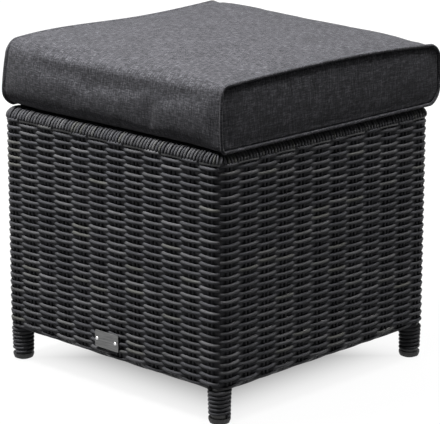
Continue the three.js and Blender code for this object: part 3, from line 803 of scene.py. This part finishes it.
def cushion_start():
    """A closed block a little smaller than the finished cushion, for the cloth to fill out."""
    verts = []
    for i in range(START_STATIONS + 1):
        x = CLOTH_HALF_X * (2 * i / START_STATIONS - 1)
        y, z = section(x, START_INSET, START_CROWN_SHARE)
        verts += [(x, a, b) for a, b in zip(y, z)]
    n = len(y)
    faces = grid_faces(START_STATIONS + 1, n)
    faces += [tuple(range(n)), tuple(range(len(verts) - n, len(verts)))[::-1]]
    obj = new_object("cushion_cloth", verts, faces, FABRIC, middle=NO_MIDDLE)
    face_outwards(obj, lambda mesh: bmesh.ops.triangulate(
        mesh, faces=[f for f in mesh.faces if len(f.verts) > 4]))
    return obj


def apply_modifiers(obj):
    graph = bpy.context.evaluated_depsgraph_get()
    made = bpy.data.meshes.new_from_object(obj.evaluated_get(graph), depsgraph=graph)
    obj.modifiers.clear()
    old = obj.data
    obj.data = made
    bpy.data.meshes.remove(old)


def positions(obj):
    co = np.empty(len(obj.data.vertices) * 3, np.float32)
    obj.data.vertices.foreach_get("co", co)
    return co.reshape(-1, 3).astype(float)


def loop_distance(points, loop):
    """Distance from each point to a closed line in the plane."""
    step = np.roll(loop, -1, 0) - loop
    length = np.linalg.norm(step, axis=1)
    best = np.full(len(points), np.inf)
    for i in range(len(loop)):
        t = np.clip(((points - loop[i]) @ step[i]) / max(length[i] ** 2, 1e-12), 0, 1)
        distance = np.linalg.norm(points - loop[i] - t[:, None] * step[i], axis=1)
        best = np.minimum(best, distance)
    return best


SEAM_LOOPS = {side: np.stack(section(side * HALF_X), 1) for side in (-1, 1)}


def seam_distance(co):
    """How far each point is from the nearer seam."""
    across = np.empty(len(co))
    for way in (-1, 1):
        mine = co[:, 0] > 0 if way == 1 else co[:, 0] <= 0
        across[mine] = loop_distance(co[mine, 1:], SEAM_LOOPS[way])
    return np.hypot(across, CLOTH_HALF_X - np.abs(co[:, 0]))


def held_share(co):
    """1 where the cloth is held; it lets go over a centimetre."""
    seam = seam_distance(co)
    x, y, z = np.abs(co[:, 0]), co[:, 1], np.abs(co[:, 2] - (ZIP_LOW.z + ZIP_HIGH.z) / 2)
    zip_z = np.maximum(0, z - (ZIP_HIGH.z - ZIP_LOW.z) / 2 - ZIP_MARGIN_Z)
    zip_x = np.maximum(0, x - ZIP_HIGH.x)
    zip_y = np.maximum(0, ZIP_LOW.y - ZIP_MARGIN_Y - y)
    zipped = np.sqrt(zip_z**2 + zip_x**2 + zip_y**2)
    near = np.minimum(seam, zipped) / HELD_REACH
    near[co[:, 2] < CUSHION_LOW + HELD_UNDER] = 0
    return np.clip(HELD_FULL - near, 0, 1)


def simulate(obj):
    """Fill the cover out as cloth under a light pressure, with a little spare cloth so that it
    wrinkles at the seams."""
    remesh = obj.modifiers.new("even_mesh", "REMESH")
    remesh.mode = "VOXEL"
    remesh.voxel_size = CLOTH_CELL * 1
    apply_modifiers(obj)
    start = positions(obj)
    group = obj.vertex_groups.new(name="held")
    for i, share in enumerate(held_share(start)):
        if share > HELD_LEAST:
            group.add([i], float(share), "REPLACE")
    cloth = obj.modifiers.new("cloth", "CLOTH")
    cloth.settings.vertex_group_mass = "held"
    cloth.settings.use_pressure = True
    cloth.settings.uniform_pressure_force = CLOTH_PRESSURE
    cloth.settings.effector_weights.gravity = 0
    cloth.settings.shrink_min = CLOTH_SHRINK
    cloth.settings.quality = CLOTH_QUALITY
    cloth.settings.bending_stiffness = CLOTH_BENDING
    scene = bpy.context.scene
    cloth.point_cache.frame_start, cloth.point_cache.frame_end = 1, CLOTH_FRAMES
    for frame_number in range(1, CLOTH_FRAMES + 1):
        scene.frame_set(frame_number)
    apply_modifiers(obj)
    scene.frame_set(1)
    move = positions(obj) - start
    far = np.linalg.norm(move, axis=1, keepdims=True)
    print("cloth moved by up to", round(float(far.max()), 4))
    co = start + move * (CLOTH_REACH * np.tanh(far / CLOTH_REACH) / np.maximum(far, 1e-9))
    obj.data.vertices.foreach_set("co", co.astype(np.float32).ravel())
    obj.data.update()
    smooth = obj.modifiers.new("finer", "SUBSURF")
    smooth.levels = smooth.render_levels = 1
    apply_modifiers(obj)


# The cover's pieces, laid on the simulated cloth
CAST_FROM = 0.020
DRAPE_REACH = 0.0028
DRAPE_SMOOTHING = 2
CRISP_REACH = 0.010
CORNER_POINTS = 12
FLAT_POINTS = 72
PANEL_STATIONS = 150
PANEL_START = 0.0095
NEAR_SEAM = np.array([0, 0.0012, 0.0024, 0.0036, 0.0050, 0.0070])
END_SPINE = 0.172
END_FILL_RINGS = 14
MERGE_DISTANCE = 0.00002
# The third cloth coordinate gives each piece other yarns
END_YARNS_AT = 0.5
PIPING_YARNS_AT = 2.0
# Grooves and a lip beside the seams: depth, distance from the seam and width
COVER_GROOVE, COVER_GROOVE_AT, COVER_GROOVE_WIDTH = 0.0010, 0.0034, 0.0016
END_GROOVE, END_GROOVE_AT, END_GROOVE_WIDTH = 0.0018, 0.0030, 0.0012
END_LIP, END_LIP_AT, END_LIP_WIDTH = 0.0010, 0.0062, 0.0020


def cover_loop(x):
    return np.stack(section(x, corner_points=CORNER_POINTS, flat_points=FLAT_POINTS), 1)


def outward(loop):
    """The way out at each point of a loop in Y and Z."""
    step = np.roll(loop, -1, 0) - np.roll(loop, 1, 0)
    out = np.stack([step[:, 1], -step[:, 0]], 1)
    return out / np.linalg.norm(out, axis=1, keepdims=True)


def swell_at(at, middle, width):
    return np.exp(-(((at - middle) / width) ** 2))


def crisp(inward):
    """0 at a seam, where the cover stays as the frame draws it, and 1 a centimetre from it."""
    return ease(np.clip(inward / CRISP_REACH, 0, 1))


def drape(tree, points, ways):
    """How far the simulated cloth stands off each point of a grid along its way out, smoothed a
    little."""
    rows, columns, _ = points.shape
    offset = np.zeros((rows, columns))
    for i in range(rows):
        for k in range(columns):
            way = Vector(ways[i, k])
            start = Vector(points[i, k]) + way * CAST_FROM
            _, _, _, distance = tree.ray_cast(start, -way, 2 * CAST_FROM)
            if distance is not None:
                offset[i, k] = CAST_FROM - distance
    offset = DRAPE_REACH * np.tanh(offset / DRAPE_REACH)
    for _ in range(DRAPE_SMOOTHING):
        offset = (np.roll(offset, 1, 1) + 2 * offset + np.roll(offset, -1, 1)) / 4
        padded = np.pad(offset, ((1, 1), (0, 0)), "edge")
        offset = (padded[:-2] + 2 * offset + padded[2:]) / 4
    return offset


def cloth_piece(name, verts, cloth, faces, nodes):
    """A piece of the cover, with its own cloth directions."""
    piece = new_object(name, verts, faces, FABRIC, middle=CUSHION_MIDDLE)
    point_values(piece, "cloth", "FLOAT_VECTOR", cloth)
    face_outwards(piece, lambda mesh: bmesh.ops.remove_doubles(
        mesh, verts=[v for v in mesh.verts if not v.is_boundary], dist=MERGE_DISTANCE))
    piece.data.polygons.foreach_set("use_smooth", [True] * len(piece.data.polygons))
    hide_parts(*nodes)
    return piece


def long_panel(tree):
    """The cover's one panel round top, front, underside and back, from seam to seam."""
    inner = np.linspace(-1, 1, PANEL_STATIONS) * (CLOTH_HALF_X - PANEL_START)
    places = np.concatenate([
        NEAR_SEAM - CLOTH_HALF_X, inner, (CLOTH_HALF_X - NEAR_SEAM)[::-1]])
    loops = np.array([cover_loop(x) for x in places])
    outs = np.array([outward(loop) for loop in loops])
    rows, columns = loops.shape[:2]
    x = np.broadcast_to(places[:, None, None], (rows, columns, 1))
    points = np.concatenate([x, loops], 2)
    ways = np.concatenate([0 * x, outs], 2)
    inward = (CLOTH_HALF_X - np.abs(places))[:, None]
    offset = drape(tree, points, ways) * crisp(inward)
    offset = offset - COVER_GROOVE * swell_at(inward, COVER_GROOVE_AT, COVER_GROOVE_WIDTH)
    points = points + ways * offset[:, :, None]
    points = np.concatenate([points, points[:, :1]], 1)
    middle = np.concatenate([loops[rows // 2], loops[rows // 2][:1]])
    along = np.concatenate([[0], np.cumsum(np.linalg.norm(np.diff(middle, axis=0), axis=1))])
    x = points[:, :, 0]
    cloth = np.stack([x, np.broadcast_to(along, x.shape), 0 * x], 2)
    faces = grid_faces(rows, columns + 1, close_columns=False)
    return cloth_piece("cushion_panel", points.reshape(-1, 3), cloth, faces,
                       ["cushion_cover", "cushion_foam"])


def end_cloth(tree, side):
    """An end panel, from its seam inwards in rings to the line along its middle."""
    loop = cover_loop(side * CLOTH_HALF_X)
    out = outward(loop)
    spine = np.stack([np.clip(loop[:, 0], -END_SPINE, END_SPINE),
                      0 * loop[:, 1] + CUSHION_LOW + EDGE_HEIGHT / 2], 1)
    last = loop - out * NEAR_SEAM[-1]
    reach = np.linalg.norm(last - spine, axis=1)
    rings = [loop - out * depth for depth in NEAR_SEAM]
    depths = [np.full(len(loop), depth) for depth in NEAR_SEAM]
    for k in range(1, END_FILL_RINGS + 1):
        share = k / END_FILL_RINGS
        rings.append(last + (spine - last) * share)
        depths.append(NEAR_SEAM[-1] + reach * share)
    rings, depths = np.array(rings), np.array(depths)
    points = np.concatenate([np.full((*depths.shape, 1), side * CLOTH_HALF_X), rings], 2)
    ways = np.zeros_like(points)
    ways[:, :, 0] = side
    offset = drape(tree, points, ways) * crisp(depths)
    offset = offset - END_GROOVE * swell_at(depths, END_GROOVE_AT, END_GROOVE_WIDTH)
    offset = offset + END_LIP * swell_at(depths, END_LIP_AT, END_LIP_WIDTH)
    points = points + ways * offset[:, :, None]
    cloth = np.stack([points[:, :, 1], points[:, :, 2], np.full(depths.shape, END_YARNS_AT)], 2)
    name = "right" if side > 0 else "left"
    return cloth_piece(f"cushion_end_cloth_{name}", points.reshape(-1, 3), cloth,
                       grid_faces(*depths.shape), [f"cushion_end_{name}"])


def cover_pieces(obj):
    """The cover's three pieces, laid on the simulated cloth, which is then taken away."""
    mesh = bmesh.new()
    mesh.from_mesh(obj.data)
    tree = BVHTree.FromBMesh(mesh)
    mesh.free()
    bpy.data.objects.remove(obj)
    return [long_panel(tree), end_cloth(tree, -1), end_cloth(tree, 1)]


PIPING_SIDES = 10
PIPING_CORNER_POINTS = 16
PIPING_FLAT_POINTS = 60
PIPING_INSET = 0.0006
PIPING_TUCK = 0.0004
# The cord's middle stays this many radii above the cushion's underside
PIPING_LOWEST = 0.8
LEFT_TOP_INSET = 0.0020
# The cord is uneven by this share of its radius, in two waves of so many radians a metre
PIPING_UNEVEN = 0.03
PIPING_WAVES = (420.0, 97.0)


def piping(side):
    """A cord wrapped in the same cloth, round the seam, with its cloth running along it."""
    y, z = section(side * HALF_X, PIPING_INSET, corner_points=PIPING_CORNER_POINTS,
                   flat_points=PIPING_FLAT_POINTS)
    z = np.maximum(z, CUSHION_LOW + PIPING_RADIUS * PIPING_LOWEST)
    loop = np.stack([y, z], 1)
    out = outward(loop)
    if side < 0:
        loop = loop - out * LEFT_TOP_INSET * np.maximum(0, out[:, 1:]) ** 2
    length = np.linalg.norm(np.roll(loop, -1, 0) - loop, axis=1)
    along = np.concatenate([[0], np.cumsum(length)[:-1]])
    fine, coarse = PIPING_WAVES
    verts, cloth = [], []
    for (middle_y, middle_z), (out_y, out_z), place in zip(loop, out, along):
        uneven = PIPING_UNEVEN * math.sin(place * fine) * math.sin(place * coarse + side)
        radius = PIPING_RADIUS * (1 - PIPING_UNEVEN + uneven)
        for k in range(PIPING_SIDES):
            a = 2 * math.pi * k / PIPING_SIDES
            r = radius * math.cos(a)
            x = side * (SEAM_X - PIPING_TUCK) + radius * math.sin(a)
            verts.append((x, middle_y + out_y * r, middle_z + out_z * r))
            cloth.append((place, radius * a, PIPING_YARNS_AT + side))
    faces = grid_faces(len(loop), PIPING_SIDES, close_rows=True, flip=True)
    name = "right" if side > 0 else "left"
    obj = new_object(f"piping_cord_{name}", verts, faces, FABRIC, middle=CUSHION_MIDDLE)
    point_values(obj, "cloth", "FLOAT_VECTOR", cloth)
    face_outwards(obj)
    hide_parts(f"cushion_piping_{name}")
    return obj


soft = cushion_start()
simulate(soft)
for cover_piece in cover_pieces(soft):
    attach(cover_piece, "cushion")
for cord in (piping(1), piping(-1)):
    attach(cord, "cushion")

# Camera, fitted to the photo
CAMERA_AZIMUTH = math.radians(44.21)
CAMERA_ELEVATION = math.radians(14.79)
CAMERA_DISTANCE = 3.2377
CAMERA_TARGET = BODY_MIDDLE + Vector((0, 0, 0.22))
FOCAL_PX = 2284.09
IMAGE_WIDTH, IMAGE_HEIGHT = 440, 424
PRINCIPAL = (216.65, 208.79)
SENSOR_WIDTH_MM = 36.0
CLIP_START, CLIP_END = 0.05, 50

# Floor, world and lights
FLOOR_HALF = 6.0
# The floor has a painted shadow under the stool's middle, where it is dark. It turns to
# NEAR_WHITE over the first pair of distances from there, and to full white over the second pair.
PAINTED_SHADOW_FADE = (0.02, 0.21)
NEAR_TO_FULL = (0.4, 1.6)
NEAR_WHITE = 0.91
WORLD_LIGHT = 0.004
LIGHT_TARGET = Vector((0, 0, 0.25))
# Place, size and power of each light
LIGHTS = {
    "key": ((-0.38, -0.74, 2.1), (0.45, 0.45), 55),
    "top": ((0.55, 0.10, 3.1), (1.0, 1.0), 96),
    "fill": ((2.6, -0.6, 1.2), (1.4, 1.8), 0.35)}


def placed(name, data, place, way):
    """A camera or light at a place, looking along a way."""
    obj = bpy.data.objects.new(name, data)
    bpy.context.scene.collection.objects.link(obj)
    obj.location = place
    obj.rotation_mode = "QUATERNION"
    obj.rotation_quaternion = way.to_track_quat("-Z", "Y")
    return obj


def camera():
    data = bpy.data.cameras.new("camera")
    data.sensor_width = SENSOR_WIDTH_MM
    data.lens = FOCAL_PX * SENSOR_WIDTH_MM / IMAGE_WIDTH
    data.shift_x = (IMAGE_WIDTH / 2 - PRINCIPAL[0]) / IMAGE_WIDTH
    data.shift_y = (PRINCIPAL[1] - IMAGE_HEIGHT / 2) / IMAGE_WIDTH
    data.clip_start, data.clip_end = CLIP_START, CLIP_END
    az, el = CAMERA_AZIMUTH, CAMERA_ELEVATION
    back = Vector((math.sin(az) * math.cos(el), -math.cos(az) * math.cos(el), math.sin(el)))
    place = CAMERA_TARGET + back * CAMERA_DISTANCE
    bpy.context.scene.camera = placed("camera", data, place, -back)


def area_light(name, place, size, power):
    data = bpy.data.lights.new(name, "AREA")
    data.shape = "RECTANGLE"
    data.size, data.size_y = size
    data.energy = power
    placed(name, data, place, LIGHT_TARGET - Vector(place))


def world():
    """White to the camera, mirrors and glass, and next to no light on the stool."""
    m = Nodes(bpy.data.worlds.new("studio"), "Background")
    strength = m.map_range(m.seen(), 0.0, 1.0, WORLD_LIGHT, 1.0)
    m.fill(m.shader, {"Color": (1, 1, 1, 1), "Strength": strength})
    bpy.context.scene.world = m.owner


def floor():
    size = FLOOR_HALF
    corners = [(-size, -size, 0), (size, -size, 0), (size, size, 0), (-size, size, 0)]
    obj = new_object("floor", corners, [(0, 1, 2, 3)], floor_material(), smooth=False,
                     middle=NO_MIDDLE)
    obj.location = BODY_MIDDLE


def floor_material():
    """Dark to the lights, but white to the camera, mirrors and glass, except for a painted shadow
    under the stool.
    """
    m = Nodes(bpy.data.materials.new("floor"))
    place = m.node("ShaderNodeTexCoord").outputs["Object"]
    ends = m.node("ShaderNodeSeparateXYZ", {0: place}).outputs
    reach = m.math("MAXIMUM", m.math("ABSOLUTE", ends["X"]), m.math("ABSOLUTE", ends["Y"]))
    # Painted shadow: the floor's white glow fades out under the stool's middle.
    clear = m.map_range(reach, *PAINTED_SHADOW_FADE, 0.0, 1.0, interpolation_type="SMOOTHSTEP")
    white = m.map_range(reach, *NEAR_TO_FULL, NEAR_WHITE, 1.0)
    m.fill(m.shader, {
        "Base Color": m.grey_ramp(m.noise(place, 3.0), 0.045, 0.052),
        "Roughness": 0.9,
        "Emission Color": (1, 1, 1, 1),
        "Emission Strength": m.math("MULTIPLY", m.math("MULTIPLY", m.seen(), white), clear)})
    return m.owner


floor()
world()
camera()
for light_name, light in LIGHTS.items():
    area_light(light_name, *light)
bpy.context.scene.view_settings.view_transform = "Standard"
